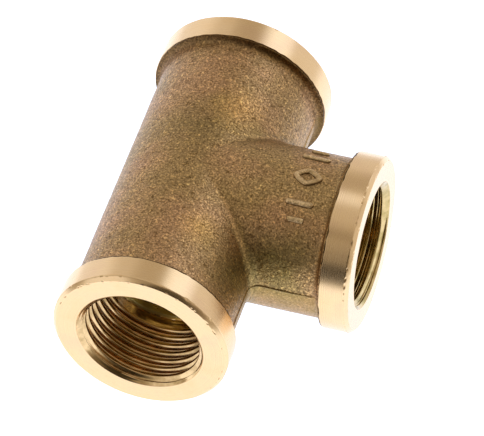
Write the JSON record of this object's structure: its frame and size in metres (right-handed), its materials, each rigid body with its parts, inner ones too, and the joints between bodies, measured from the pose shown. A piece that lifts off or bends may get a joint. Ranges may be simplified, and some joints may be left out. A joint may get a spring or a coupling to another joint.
{
  "type": "tee fitting",
  "caption": "Equal female threaded pipe tee of cast brass: a straight run with a square side branch, turned round collars and a tapped port at each end.",
  "frame": {"origin": "crossing of the run's axis and the branch's axis", "axes": "+Y along the run towards the rear port, +X along the branch towards its port, +Z square to both, up when the fitting lies on its collars"},
  "size_m": [0.0358, 0.048, 0.0236],
  "materials": {
    "cast_skin": "shot-blasted cast skin, matt bronze brown with fine gold grain",
    "turned_brass": "bright turned brass with fine lathe lines",
    "cut_thread": "tapped brass, bright crests"
  },
  "bodies": {
    "root": {"cast_body": "cast_skin", "cast_mark": "cast_skin", "front_collar": "turned_brass", "rear_collar": "turned_brass", "branch_collar": "turned_brass", "front_thread": "cut_thread", "rear_thread": "cut_thread", "branch_thread": "cut_thread"}
  },
  "joints": []
}
